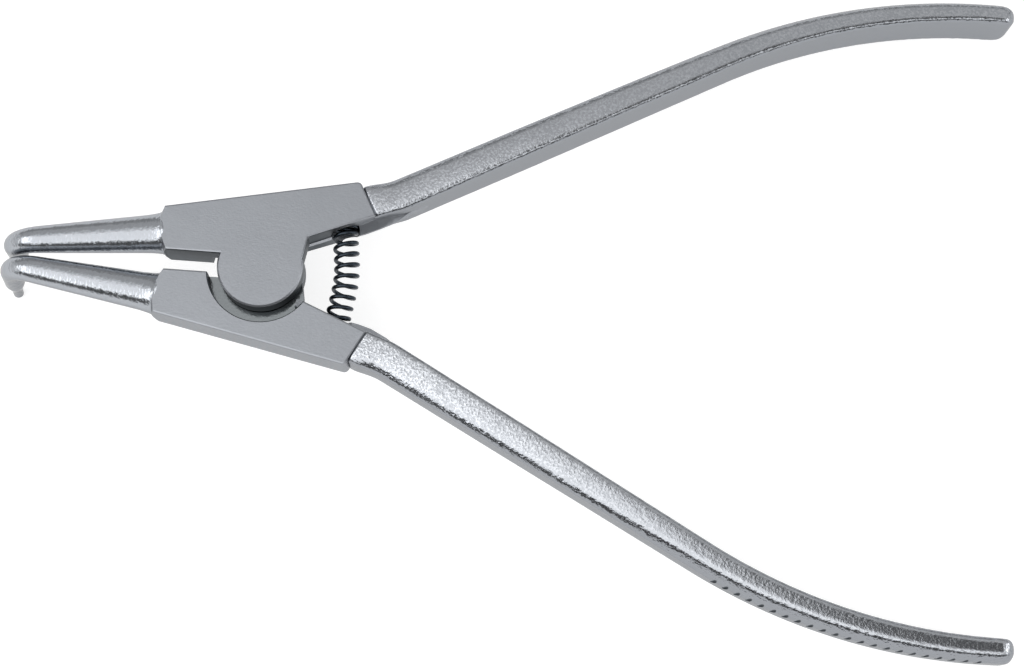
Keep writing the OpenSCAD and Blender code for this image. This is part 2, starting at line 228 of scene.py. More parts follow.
# Milled nickel: the recess floor is smooth from the cutter, so it mirrors the dark wall of the lap above it.
# Its colour is a painted shade, darker than the ground head's, for the shade in the recess.
milled_nickel, tree = new_material("milled_nickel")
CUT_MM, CUT_DEPTH = 0.5, 0.03
place = add(tree, "ShaderNodeTexCoord").outputs["Object"]
cuts = add(tree, "ShaderNodeTexNoise", {
    "Vector": place, "Scale": 1 / (CUT_MM * MM), "Detail": 2.0}).outputs["Fac"]
gloss = add(tree, "ShaderNodeMapRange", {"Value": cuts, "To Min": 0.1, "To Max": 0.18}).outputs[0]
dents = add(tree, "ShaderNodeBump", {
    "Height": cuts, "Strength": 0.5, "Distance": CUT_DEPTH * MM}).outputs[0]
# Painted shade: the base colour is darker than the ground head's.
surface = add(tree, "ShaderNodeBsdfPrincipled", {
    "Base Color": linear("#74787A"), "Specular Tint": EDGE_TINT, "Metallic": 1.0, "Roughness": gloss,
    "Normal": dents})
add(tree, "ShaderNodeOutputMaterial", {"Surface": surface.outputs[0]})

LEVER_FINISHES = [ground_nickel, forged_nickel, polished_nickel, shaded_dull_nickel, milled_nickel]
GROUND, FORGED, POLISHED, SHADED_DULL, MILLED = range(5)


def put_in_scene(name, data):
    """An object in the scene, around a mesh, a light or a camera."""
    made = bpy.data.objects.new(name, data)
    bpy.context.scene.collection.objects.link(made)
    return made


def dress(mesh, finishes):
    """Gives a mesh its materials, in place of any that it has. Clearing them sets all faces to the first."""
    if len(mesh.materials) > 0:
        mesh.materials.clear()
    for material in finishes:
        mesh.materials.append(material)


def closed_mesh(name, points, faces, finish):
    """A closed mesh object from points in millimetres, its faces turned outwards."""
    shape = bmesh.new()
    corners = [shape.verts.new(Vector(p) * MM) for p in points]
    for face in faces:
        shape.faces.new([corners[i] for i in face]).material_index = finish
    bmesh.ops.recalc_face_normals(shape, faces=shape.faces)
    mesh = bpy.data.meshes.new(name)
    shape.to_mesh(mesh)
    shape.free()
    dress(mesh, LEVER_FINISHES)
    return put_in_scene(name, mesh)


def loft(name, rings, finish):
    """A closed skin over equal rings of points."""
    n = len(rings[0])
    faces = [list(range(n)), [(len(rings) - 1) * n + k for k in range(n)]]
    for i in range(len(rings) - 1):
        for k in range(n):
            a, b = i * n + k, i * n + (k + 1) % n
            faces.append([a, b, b + n, a + n])
    return closed_mesh(name, [p for ring in rings for p in ring], faces, finish)


def circle(sides):
    """Points around a circle of radius 1."""
    angles = [2 * math.pi * k / sides for k in range(sides)]
    return [(math.cos(a), math.sin(a)) for a in angles]


def bar(name, start, end, r_start, r_end, sides=96, finish=GROUND):
    """A round bar or cone between two points, for turned and drilled shapes."""
    a, b = Vector(start), Vector(end)
    turn = (b - a).to_track_quat("Z", "Y")
    ring = [Vector((x, y, 0)) for x, y in circle(sides)]
    return loft(name, [[at + turn @ (p * r) for p in ring] for at, r in ((a, r_start), (b, r_end))], finish)


def turned(name, centre, profile, finish, sides=128):
    """A solid turned about an upright axis, from radii and heights."""
    spots = [Vector(p) for p in circle(sides)]
    rings = [[(centre.x + p.x * r, centre.y + p.y * r, z) for p in spots] for r, z in profile]
    return loft(name, rings, finish)


def settle(piece):
    """Turns a piece with live modifiers into a plain mesh."""
    depsgraph = bpy.context.evaluated_depsgraph_get()
    mesh = bpy.data.meshes.new_from_object(piece.evaluated_get(depsgraph))
    piece.modifiers.clear()
    piece.data = mesh


def work(piece, tool, operation):
    """Joins a solid to a piece, or cuts it away, and drops the solid."""
    step = piece.modifiers.new("work", "BOOLEAN")
    step.operation = operation
    step.solver = "EXACT"
    step.object = tool
    settle(piece)
    bpy.data.objects.remove(tool)


def set_inputs(modifier, values):
    """Sets the inputs of a Geometry Nodes modifier from values under the inputs' names."""
    for item in modifier.node_group.interface.items_tree:
        if item.name in values:
            modifier[item.identifier] = values[item.name]


def ease(t):
    """A smooth step from 0 to 1."""
    t = min(1.0, max(0.0, t))
    return t * t * (3 - 2 * t)


def mix(a, b, t):
    """The value that lies a share of the way from one value to another."""
    return a + (b - a) * t


def rounded(before, corner, after, steps=6):
    """Points of a smooth curve that takes the place of a corner."""
    shares = [k / steps for k in range(steps + 1)]
    return [before * (1 - t) ** 2 + corner * 2 * t * (1 - t) + after * t ** 2 for t in shares]


# Head, in millimetres: a lapped disc on the pivot and a block that carries the jaw and the handle.
# OVERCUT is how far a cutter reaches past the surface that it cuts.
HEAD_T = 7.0
LAP_R, RECESS_R, LAP_H = 7.15, 8.95, 3.45
RECESS_MID = Vector((0.25, 0.67))
SLOT_W, FRONT_X, FRONT_W = 3.3, 17.0, 7.3
NECK = Vector((7.6, 5.5))
LAP_BITE, OVERCUT = 0.5, 1.0
HANDLE_ANGLE = math.radians(28.3)
ALONG = Vector((math.cos(HANDLE_ANGLE), math.sin(HANDLE_ANGLE)))
OUTWARD = Vector((-math.sin(HANDLE_ANGLE), math.cos(HANDLE_ANGLE)))
STEP_MID, STEP_W = Vector((17.0, 12.95)), 6.6
STEP_OUTER, STEP_INNER = STEP_MID + OUTWARD * STEP_W / 2, STEP_MID - OUTWARD * STEP_W / 2
CORNER_R = 0.7
EDGE_BREAK, EDGE_ANGLE, RIM_BREAK = 0.3, math.radians(35), 0.15
WALL_LEN = (STEP_INNER - NECK).length
WALL_DIR = (STEP_INNER - NECK).normalized()
WALL_IN = Vector((WALL_DIR.y, -WALL_DIR.x))
SPRING_X, POCKET_R, POCKET_DEPTH = 13.4, 2.4, 1.5
POCKET_FLOOR = NECK.y + WALL_DIR.y / WALL_DIR.x * (SPRING_X - NECK.x) + POCKET_DEPTH
RIVET_R, RIVET_HEAD_R, RIVET_GAP, RIVET_DEPTH = 2.5, 4.0, 0.05, 2.4

# Ridge on the block's inner wall. Each ring has its place along the wall, the width of its shelf, its reach
# out of the wall and the height of its crest.
RIDGE_RINGS = (
    (-1.0, 0.35, 0.45, 0.75), (WALL_LEN * 0.3, 0.4, 0.6, 0.9), (WALL_LEN * 0.64, 0.2, 1.05, 2.2),
    (WALL_LEN * 0.8, 0.1, 1.3, 2.8), (WALL_LEN, 0.05, 1.4, 3.5), (WALL_LEN + 3, 0.05, 1.15, 3.5),
    (WALL_LEN + 6, 0.0, 0.5, 3.5), (WALL_LEN + 9, -0.05, 0.0, 3.5))
RIDGE_ROOT, RIDGE_BITE, RIDGE_EDGE, RIDGE_FLAT = 1.2, 0.1, 0.3, 0.3
SHELF_BACK, SHELF_FRONT = 1.9, 1.7

# Which faces of the head take the dull finish, with its painted shade: how near a face lies to a wall, and
# how level it is, from 0 to 1.
NEAR, WALL_LEVEL, LIP_LEVEL, SHELF_LEVEL, NECK_MARGIN = 0.05, 0.5, 0.8, 0.35, 0.5

# Jaw: leaves the middle of the block's front end and runs in towards the other jaw.
# The block's nose is a cone around it, and the jaw's root is a plug that is buried in the block.
JAW_BASE = Vector((-FRONT_X, SLOT_W / 2 + FRONT_W / 2, HEAD_T / 2))
JAW_LEN, JAW_END_D, JAW_GAP = 20.9, 4.6, 0.7
JAW_W, JAW_H = 6.7, 6.4
NOSE_D, NOSE_SLOPE, NOSE_REACH = 7.5, 0.55, 40.0
FLARE_D, FLARE_LEN = 7.45, 3.2
BEND_R, BEND_ANGLE, TIP_LEAN = 5.0, math.radians(83), math.radians(3.5)
SHANK_D, SHANK_LEN, WAIST_D = 3.7, 5.0, 3.45
TAPER_LEN, TIP_D, TIP_LEN, TIP_CHAMFER = 4.2, 1.8, 2.8, 0.25
BURY, PLUG_SHARE, SEAT_IN = 1.5, 0.85, 0.1
FLARE_RINGS, STRAIGHT_RINGS, BEND_RINGS, TAPER_RINGS = 8, 10, 24, 4
jaw_turn = math.asin((JAW_BASE.y - JAW_GAP / 2 - JAW_END_D / 2) / JAW_LEN)
JAW_FRAME = (Matrix.Translation(JAW_BASE) @ Matrix.Rotation(math.pi + jaw_turn, 4, "Z")
             @ Matrix.Rotation(-TIP_LEAN, 4, "X"))

# Handle: a short rise out of the block, a straight part, a curve and a short straight end with a round nose.
# Its top and bottom are domed, and its outer shoulder is rounder in the grip. A dome is given as places
# across the width, from the inner side (0) to the outer (1), each with the slope there.
HANDLE_RISE, CURVE_X, CURVE_R, END_LEN = 2.28, 75.8, 99.0, 4.0
HANDLE_END_X = CURVE_X + CURVE_R * math.sin(HANDLE_ANGLE) + END_LEN
W_ROOT, W_END, H_ROOT, H_GRIP, GRIP_X = 5.9, 3.7, 7.7, 8.7, 46.0
INNER_EDGE, OUTER_EDGE, EDGE_SHARE = 0.85, 0.45, 0.3
END_R, END_SWEEP, END_RINGS = 1.6, 80, 8
END_DOME_LEN, END_DOME_DROP = 3.0, 2.6
DOME = ((0.0, -0.15), (0.2, 0.02), (0.62, 0.17), (0.72, 0.25), (0.79, 0.5), (0.86, 0.78), (1.0, 1.15))
GRIP_DOME = ((0.0, -0.12), (0.2, 0.01), (0.5, 0.06), (0.55, 0.16), (0.7, 0.6), (0.76, 1.2), (1.0, 2.2))
GRIP_FROM, GRIP_TO, GRIP_SWELL = 55.0, 85.0, 0.25
ROOT_DOME, DOME_FADE = 0.5, 4.0
TOP_STEPS, SIDE_STEPS = 16, 4
ROOT_LEN, ROOT_FLARE, ROOT_PINCH, PLUG_SHIFT = 5.0, 0.75, 0.7, 0.9
SHOULDER_LEN, SHOULDER_LEDGE, SHOULDER_RINGS = 0.35, 0.15, 4
ROOT = STEP_MID - OUTWARD * (STEP_MID.dot(OUTWARD) - HANDLE_RISE * math.cos(HANDLE_ANGLE))
RING_STEP = 0.4
RAGGED_MM, RAGGED_DEPTH, RAGGED_REACH = 0.9, 0.05, 1.0


def pocket_ridge():
    """The forged ridge on the block's inner wall. Its crest lies low at the neck and rises to the handle."""
    rings = []
    for s, ledge, out, crest in RIDGE_RINGS:
        base = NECK + WALL_DIR * s
        near, deep = base - WALL_IN * RIDGE_BITE, base - WALL_IN * RIDGE_ROOT
        shelf, far = base + WALL_IN * ledge, base + WALL_IN * out
        rings.append([(deep.x, deep.y, HEAD_T - RIDGE_ROOT), (near.x, near.y, HEAD_T - RIDGE_EDGE),
                      (base.x, base.y, crest + SHELF_BACK), (shelf.x, shelf.y, crest + SHELF_FRONT),
                      (far.x, far.y, crest + RIDGE_FLAT), (far.x, far.y, crest - RIDGE_FLAT),
                      (near.x, near.y, RIDGE_EDGE), (deep.x, deep.y, RIDGE_ROOT)])
    # The ridge takes the dull finish's painted shade; head_block gives its upward shelf the ground finish.
    return loft("ridge", rings, SHADED_DULL)


def head_block(name, front_lap):
    """The upper lever's head: block, nose cone, lap, recess and spring pocket, with broken edges."""
    front = -FRONT_X - OVERCUT
    outer_front = Vector((front, SLOT_W / 2 + FRONT_W))
    side = (outer_front - STEP_OUTER).normalized()
    corner = rounded(STEP_OUTER + side * CORNER_R, STEP_OUTER, STEP_OUTER - OUTWARD * CORNER_R)
    plan = [outer_front, *corner, STEP_INNER, NECK,
            Vector((LAP_R - LAP_BITE, 0)), Vector((0, SLOT_W / 2)), Vector((front, SLOT_W / 2))]
    block = loft(name, [[(p.x, p.y, z) for p in plan] for z in (0, HEAD_T)], GROUND)
    edge = block.modifiers.new("edge", "BEVEL")
    edge.width = EDGE_BREAK * MM
    edge.segments = 2
    edge.limit_method = "ANGLE"
    edge.angle_limit = EDGE_ANGLE
    settle(block)

    nose_end = JAW_FRAME @ Vector((-NOSE_REACH, 0, 0))
    nose_end_r = NOSE_D / 2 + NOSE_REACH / NOSE_SLOPE
    work(block, bar("nose", JAW_BASE, nose_end, NOSE_D / 2, nose_end_r, sides=128), "INTERSECT")

    if front_lap:
        floor, rim, past = HEAD_T - LAP_H, 0, -OVERCUT
        low, high = HEAD_T - LAP_H, HEAD_T
    else:
        floor, rim, past = LAP_H, HEAD_T, HEAD_T + OVERCUT
        low, high = 0, LAP_H
    lip = math.copysign(RIM_BREAK, past - rim)
    rim_r, lap_top_r = RECESS_R + 2 * RIM_BREAK, LAP_R - EDGE_BREAK
    work(block, turned("recess", RECESS_MID, (
        (RECESS_R, floor), (RECESS_R, rim - lip), (rim_r, rim + lip), (rim_r, past)), MILLED), "DIFFERENCE")
    work(block, turned("lap", Vector((0, 0)), (
        (lap_top_r, low), (LAP_R, low + EDGE_BREAK), (LAP_R, high - EDGE_BREAK), (lap_top_r, high)),
        GROUND), "UNION")

    work(block, pocket_ridge(), "UNION")
    mid = HEAD_T / 2
    # The spring's pocket takes the dull finish's painted shade.
    work(block, bar("pocket", (SPRING_X, 0, mid), (SPRING_X, POCKET_FLOOR, mid), POCKET_R, POCKET_R,
                    sides=64, finish=SHADED_DULL), "DIFFERENCE")

    # Walls of the slot, the inner wall and round the recess and the lap, and the recess's lip, take the dull
    # finish's painted shade. The ridge's shelf, which faces up, goes back to the ground finish.
    for face in block.data.polygons:
        spot = face.center / MM
        level = abs(face.normal.z)
        in_slot = spot.x < 0 and abs(spot.y - SLOT_W / 2) < NEAR
        on_wall = spot.x > NECK.x and abs((spot.xy - NECK).dot(WALL_IN)) < NEAR
        reach = (spot.xy - RECESS_MID).length - RECESS_R
        dark_wall = level < WALL_LEVEL and (in_slot or on_wall or reach < NEAR)
        dark_lip = level < LIP_LEVEL and -NEAR < reach < 2 * RIM_BREAK
        on_shelf = face.normal.z > SHELF_LEVEL and spot.y > NECK.y - NECK_MARGIN
        if dark_wall or dark_lip:
            face.material_index = SHADED_DULL
        elif face.material_index == SHADED_DULL and on_shelf:
            face.material_index = GROUND
    return block


def jaw_rings(sides=48):
    """Rings of the jaw from inside the block to the tip, in the upper lever's place."""
    def ring(s, drop, turn, w, h):
        points = []
        for across, up in circle(sides):
            y, z = w / 2 * across, h / 2 * up
            points.append(JAW_FRAME @ Vector((s + z * math.sin(turn), y, z * math.cos(turn) - drop)))
        return points

    def straight(s):
        return mix(JAW_W, JAW_END_D, s / JAW_LEN), mix(JAW_H, JAW_END_D, s / JAW_LEN)

    rings = [ring(-BURY, 0, 0, PLUG_SHARE * JAW_W, PLUG_SHARE * JAW_H),
             ring(-SEAT_IN, 0, 0, FLARE_D, FLARE_D)]
    for k in range(1, FLARE_RINGS + 1):
        s = FLARE_LEN * k / FLARE_RINGS
        flare = 1 - math.sqrt(1 - (1 - s / FLARE_LEN) ** 2)
        w, h = straight(s)
        rings.append(ring(s, 0, 0, mix(w, FLARE_D, flare), mix(h, FLARE_D, flare)))
    for k in range(1, STRAIGHT_RINGS):
        s = mix(FLARE_LEN, JAW_LEN, k / STRAIGHT_RINGS)
        rings.append(ring(s, 0, 0, *straight(s)))
    for k in range(BEND_RINGS + 1):
        turn = BEND_ANGLE * k / BEND_RINGS
        d = mix(JAW_END_D, SHANK_D, k / BEND_RINGS)
        rings.append(ring(JAW_LEN + BEND_R * math.sin(turn), BEND_R * (1 - math.cos(turn)), turn, d, d))
    end_s = JAW_LEN + BEND_R * math.sin(BEND_ANGLE)
    end_drop = BEND_R * (1 - math.cos(BEND_ANGLE))
    tip_end = SHANK_LEN + TAPER_LEN + TIP_LEN
    profile = [(SHANK_LEN + TAPER_LEN * k / TAPER_RINGS, mix(WAIST_D, TIP_D, k / TAPER_RINGS))
               for k in range(TAPER_RINGS + 1)]
    profile += [(tip_end, TIP_D), (tip_end + TIP_CHAMFER, TIP_D - 2 * TIP_CHAMFER)]
    for t, d in profile:
        s, drop = end_s + t * math.cos(BEND_ANGLE), end_drop + t * math.sin(BEND_ANGLE)
        rings.append(ring(s, drop, BEND_ANGLE, d, d))
    return rings


def handle_slope(x):
    """The angle of the handle at x."""
    if x <= CURVE_X:
        return HANDLE_ANGLE
    return math.asin(max(0.0, math.sin(HANDLE_ANGLE) - (x - CURVE_X) / CURVE_R))


def handle_y(x):
    """The middle of the handle at x."""
    return (HANDLE_RISE + math.tan(HANDLE_ANGLE) * min(x, CURVE_X)
            + CURVE_R * (math.cos(handle_slope(x)) - math.cos(HANDLE_ANGLE)))


def handle_size(x):
    """The width and the height of the handle at x."""
    w = mix(W_ROOT, W_END, (x - ROOT.x) / (HANDLE_END_X - ROOT.x))
    h = mix(H_ROOT, H_GRIP, ease((x - ROOT.x) / (GRIP_X - ROOT.x)))
    return w, h


def in_grip(x):
    """How much of the grip's shape the handle has at x, from 0 to 1."""
    return ease((x - GRIP_FROM) / (GRIP_TO - GRIP_FROM))


def dome_drop(u, grip):
    """How far the top lies below its crest, in widths, from the inner side (0) to the outer (1)."""
    drop, crest = 0.0, 0.0
    stops = [(mix(a, c, grip), mix(b, d, grip)) for (a, b), (c, d) in zip(DOME, GRIP_DOME)]
    for (a, slope_a), (b, slope_b) in zip(stops, stops[1:]):
        end = min(max(u, a), b)
        slope_end = mix(slope_a, slope_b, (end - a) / (b - a))
        drop += (slope_a + slope_end) / 2 * (end - a)
        if slope_a < 0 < slope_b:
            crest = slope_a / 2 * (b - a) * -slope_a / (slope_b - slope_a)
    return drop - crest


def handle_section(w, h, domed, grip):
    """Points around a handle. Its top is highest near the inner side and low at the outer edge."""
    def top(u):
        return Vector((w * (u - 0.5), h / 2 - domed * w * dome_drop(u, grip)))

    low_outer, low_inner = top(1.0), top(0.0)
    outer, inner = min(OUTER_EDGE, EDGE_SHARE * w), min(INNER_EDGE, EDGE_SHARE * w)
    points = rounded(low_outer - Vector((0, outer)), low_outer, top(1 - outer / w))
    points += [top(mix(1 - outer / w, inner / w, k / TOP_STEPS)) for k in range(1, TOP_STEPS)]
    points += rounded(top(inner / w), low_inner, low_inner - Vector((0, inner)))
    points += [Vector((-w / 2, mix(low_inner.y - inner, 0, k / SIDE_STEPS))) for k in range(1, SIDE_STEPS)]
    return points + [Vector((p.x, -p.y)) for p in reversed(points)]


def handle_ring(x, w, h, shift=0.0, side=0.0, ragged=0.0):
    """A ring of a handle at x, moved along the handle or out to one side. Ragged roughens its edges."""
    slope, y = handle_slope(x), handle_y(x)
    domed = mix(ROOT_DOME, 1.0, ease((x - ROOT.x) / DOME_FADE))
    ring = []
    for p, q in handle_section(w, h, domed, in_grip(x)):
        off_edge = math.hypot((abs(p) - w / 2) / RAGGED_REACH, (abs(q) - h / 2) / RAGGED_REACH)
        bite = ragged * max(0.0, 1 - off_edge) * noise.noise(Vector((x / RAGGED_MM, p, q)))
        p, q = (p + side) * (1 - 2 * bite / w), q * (1 - 2 * bite / h)
        ring.append((x + shift * ALONG.x - p * math.sin(slope),
                     y + shift * ALONG.y + p * math.cos(slope), HEAD_T / 2 + q))
    return ring


def handle_rings():
    """Rings of the handle from inside the block to its rounded end, in the upper lever's place."""
    seat_w, seat_h = W_ROOT - ROOT_PINCH - 2 * SHOULDER_LEDGE, HEAD_T - 2 * SHOULDER_LEDGE
    rings = [handle_ring(ROOT.x, PLUG_SHARE * W_ROOT, PLUG_SHARE * HEAD_T, -BURY, PLUG_SHIFT),
             handle_ring(ROOT.x, seat_w, seat_h, -SEAT_IN, ROOT_PINCH / 2)]
    stations = [ROOT.x + SHOULDER_LEN * k / SHOULDER_RINGS for k in range(1, SHOULDER_RINGS + 1)]
    start, stop = stations[-1], HANDLE_END_X - END_R
    steps = round((stop - start) / RING_STEP)
    stations += [mix(start, stop, k / steps) for k in range(1, steps + 1)]
    stations += [HANDLE_END_X - END_R * (1 - math.sin(math.radians(END_SWEEP * k / END_RINGS)))
                 for k in range(1, END_RINGS + 1)]
    for x in stations:
        w, h = handle_size(x)
        proud = math.sqrt(1 - (1 - min(1.0, (x - ROOT.x) / SHOULDER_LEN)) ** 2)
        w, h = mix(w - 2 * SHOULDER_LEDGE, w, proud), mix(seat_h, h, proud)
        past = max(0.0, END_R - (HANDLE_END_X - x))
        inset = 2 * (END_R - math.sqrt(END_R ** 2 - past ** 2))
        past = max(0.0, 1 - (HANDLE_END_X - x) / END_DOME_LEN)
        drop = 2 * END_DOME_DROP * (1 - math.sqrt(1 - past ** 2))
        at_root = 1 - ease((x - ROOT.x) / ROOT_LEN)
        flare, pinch = ROOT_FLARE * at_root + GRIP_SWELL * in_grip(x), ROOT_PINCH * at_root
        side = (flare + pinch) / 2
        rings.append(handle_ring(x, w + flare - pinch - inset, h - drop, 0, side, RAGGED_DEPTH))
    return rings


# Grip notches: a row of slanted nicks, rolled into the outer side of each handle where the hand holds it.
NOTCH_X, NOTCH_PITCH, NOTCH_PATH_STEPS = (79.0, 121.0), 2.1, 60
NOTCH_LEN, NOTCH_W, NOTCH_DEPTH, NOTCH_LEAN, NOTCH_RISE = 2.7, 0.7, 0.45, math.radians(14), 1.6
notch_tree = bpy.data.node_groups.new("grip_notches", "GeometryNodeTree")
for name, kind in (("Path", "Geometry"), ("Pitch", "Float"), ("Size", "Vector"), ("Lean", "Float")):
    notch_tree.interface.new_socket(name, in_out="INPUT", socket_type="NodeSocket" + kind)
notch_tree.interface.new_socket("Notches", in_out="OUTPUT", socket_type="NodeSocketGeometry")
ins = add(notch_tree, "NodeGroupInput").outputs
path = add(notch_tree, "GeometryNodeMeshToCurve", {"Mesh": ins["Path"]}).outputs[0]
spaced = add(notch_tree, "GeometryNodeResampleCurve", {
    "Curve": path, "Length": ins["Pitch"]}, mode="LENGTH").outputs[0]
tangent = add(notch_tree, "GeometryNodeInputTangent").outputs[0]
facing = add(notch_tree, "FunctionNodeAlignRotationToVector", {"Vector": tangent}, axis="X").outputs[0]
lean = add(notch_tree, "FunctionNodeAxisAngleToRotation", {
    "Axis": (0, 1, 0), "Angle": ins["Lean"]}).outputs[0]
leaning = add(notch_tree, "FunctionNodeRotateRotation", {
    "Rotation": facing, "Rotate By": lean}, rotation_space="LOCAL").outputs[0]
bead = add(notch_tree, "GeometryNodeMeshIcoSphere", {"Radius": 0.5, "Subdivisions": 3}).outputs["Mesh"]
placed = add(notch_tree, "GeometryNodeInstanceOnPoints", {
    "Points": spaced, "Instance": bead, "Rotation": leaning, "Scale": ins["Size"]}).outputs[0]
solid = add(notch_tree, "GeometryNodeRealizeInstances", {"Geometry": placed}).outputs[0]
# The nicks take the dull finish's painted shade.
finished = add(notch_tree, "GeometryNodeSetMaterial", {"Geometry": solid, "Material": shaded_dull_nickel}).outputs[0]
add(notch_tree, "NodeGroupOutput", {"Notches": finished})


def grip_notches(name):
    """Nick-shaped solids along the upper handle's outer side, ready to be cut out of it."""
    points = []
    for k in range(NOTCH_PATH_STEPS + 1):
        x = mix(*NOTCH_X, k / NOTCH_PATH_STEPS)
        out = handle_size(x)[0] / 2 + GRIP_SWELL * in_grip(x)
        slope = handle_slope(x)
        points.append(Vector((x - out * math.sin(slope), handle_y(x) + out * math.cos(slope),
                              HEAD_T / 2 + NOTCH_RISE)) * MM)
    mesh = bpy.data.meshes.new(name)
    mesh.from_pydata(points, [(k, k + 1) for k in range(NOTCH_PATH_STEPS)], [])
    piece = put_in_scene(name, mesh)
    rolled = piece.modifiers.new("notches", "NODES")
    rolled.node_group = notch_tree
    set_inputs(rolled, {"Pitch": NOTCH_PITCH * MM, "Lean": NOTCH_LEAN,
                        "Size": (NOTCH_W * MM, 2 * NOTCH_DEPTH * MM, NOTCH_LEN * MM)})
    settle(piece)
    dress(piece.data, LEVER_FINISHES)
    # The nicks' faces take the dull finish, with its painted shade.
    for face in piece.data.polygons:
        face.material_index = SHADED_DULL
    return piece


# Shading: edges sharper than this stay sharp, and faces this level, from 0 to 1, are shaded flat.
SHARP_ANGLE, FLAT_LEVEL, FLAT_WEIGHT = math.radians(32), 0.999, 80


def lever(name, body, node, front_lap, mirrored):
    """One whole forging: head, jaw and handle joined, mirrored for the lower lever."""
    piece = head_block(name, front_lap)
    handle = loft("handle", handle_rings(), FORGED)
    work(handle, grip_notches("nicks"), "DIFFERENCE")
    work(piece, handle, "UNION")
    work(piece, loft("jaw", jaw_rings(), POLISHED), "UNION")
    behind = (0, 0, -OVERCUT)
    if front_lap:
        top = HEAD_T - LAP_H + RIVET_DEPTH
        work(piece, bar("hole", behind, (0, 0, top), RIVET_R, RIVET_R), "DIFFERENCE")
    else:
        bore = RIVET_R + RIVET_GAP
        head_h = RIVET_HEAD_R - RIVET_R
        work(piece, bar("bore", behind, (0, 0, LAP_H + OVERCUT), bore, bore), "DIFFERENCE")
        work(piece, bar("seat", behind, (0, 0, head_h), bore + head_h + OVERCUT, bore), "DIFFERENCE")
    if mirrored:
        piece.data.transform(Matrix.Diagonal((1, -1, 1, 1)))
        piece.data.flip_normals()
    piece.data.set_sharp_from_angle(angle=SHARP_ANGLE)
    piece.data.polygons.foreach_set("use_smooth", [
        face.material_index in (FORGED, POLISHED) or abs(face.normal.z) < FLAT_LEVEL
        for face in piece.data.polygons])
    flats = piece.modifiers.new("flats", "WEIGHTED_NORMAL")
    flats.keep_sharp = True
    flats.weight = FLAT_WEIGHT
    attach(piece, body)
    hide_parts(node)


lever("upper_lever_forging", "upper", "upper_lever", True, False)
lever("lower_lever_forging", "lower", "lower_lever", False, True)

# Pivot rivet
# A plain steel rivet, pressed into the upper lever's lap from behind and ground flush at the back.
# It turns in the lower lever's lap, and only its flush head shows.

# Ground rivet steel: rings from the grinding, which are drawn coarse enough to show, give a satin shine.
rivet_steel, tree = new_material("ground_rivet_steel")
RIVET_GRIND_MM = 0.8
place = add(tree, "ShaderNodeTexCoord").outputs["Object"]
marks = add(tree, "ShaderNodeTexWave", {
    "Vector": place, "Scale": 1 / (RIVET_GRIND_MM * MM), "Distortion": 2.0, "Detail": 2.0,
    "Detail Scale": 2.0},
    wave_type="RINGS", rings_direction="Z").outputs["Fac"]
satin = add(tree, "ShaderNodeMapRange", {"Value": marks, "To Min": 0.3, "To Max": 0.42}).outputs[0]
tint = add(tree, "ShaderNodeMix", {
    "Factor": marks, COLOUR_A: linear("#B3B4B6"), COLOUR_B: linear("#BDBEC0")},
    data_type="RGBA").outputs[COLOUR_OUT]
surface = add(tree, "ShaderNodeBsdfPrincipled", {"Base Color": tint, "Metallic": 1.0, "Roughness": satin})
add(tree, "ShaderNodeOutputMaterial", {"Surface": surface.outputs[0]})
dress(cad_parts["pivot_rivet"].data, [rivet_steel])

# Return spring
# A compression spring of blued drawn wire with closed ends, its ends held in the drilled pockets.
# It pushes the levers apart, and is drawn with a fixed bow between them.
WIRE_D, SPRING_OD, SPRING_BOW, START_TURN, SPRING_GAP = 0.7, 4.4, 0.85, 0.37, 0.05
WORKING_COILS, CLOSED_COILS, CLOSED_PITCH = 9.0, 1.0, 0.75
WIRE_POINTS, WIRE_SIDES = 441, 14
SPRING_LEN = 2 * (POCKET_FLOOR - SPRING_GAP)
WORKING_PITCH = (SPRING_LEN - WIRE_D - 2 * CLOSED_COILS * CLOSED_PITCH) / WORKING_COILS
SPRING_START = (SPRING_X, -SPRING_LEN / 2 + WIRE_D / 2, HEAD_T / 2)

# Blued spring wire: a thin oxide from the heat treatment, dark blue-grey and oily, with faint lighter marks.
blued_wire, tree = new_material("blued_spring_wire")
OXIDE_MM = 0.5
place = add(tree, "ShaderNodeTexCoord").outputs["Object"]
oxide = add(tree, "ShaderNodeTexNoise", {
    "Vector": place, "Scale": 1 / (OXIDE_MM * MM), "Detail": 3.0}).outputs["Fac"]
tint = add(tree, "ShaderNodeMix", {
    "Factor": oxide, COLOUR_A: linear("#23282E"), COLOUR_B: linear("#40474F")},
    data_type="RGBA").outputs[COLOUR_OUT]
oiled = add(tree, "ShaderNodeMapRange", {"Value": oxide, "To Min": 0.22, "To Max": 0.42}).outputs[0]
surface = add(tree, "ShaderNodeBsdfPrincipled", {"Base Color": tint, "Metallic": 1.0, "Roughness": oiled})
add(tree, "ShaderNodeOutputMaterial", {"Surface": surface.outputs[0]})

coil_tree = bpy.data.node_groups.new("coiled_wire", "GeometryNodeTree")
for name in ("Wire", "Radius", "Working Coils", "Closed Coils", "Working Pitch", "Closed Pitch",
             "Half Length", "Bow"):
    coil_tree.interface.new_socket(name, in_out="INPUT", socket_type="NodeSocketFloat")
coil_tree.interface.new_socket("Centre", in_out="INPUT", socket_type="NodeSocketVector")
coil_tree.interface.new_socket("Spring", in_out="OUTPUT", socket_type="NodeSocketGeometry")
ins = add(coil_tree, "NodeGroupInput").outputs
straight = add(coil_tree, "GeometryNodeCurvePrimitiveLine").outputs[0]
fine = add(coil_tree, "GeometryNodeResampleCurve", {
    "Curve": straight, "Count": WIRE_POINTS}, mode="COUNT").outputs[0]

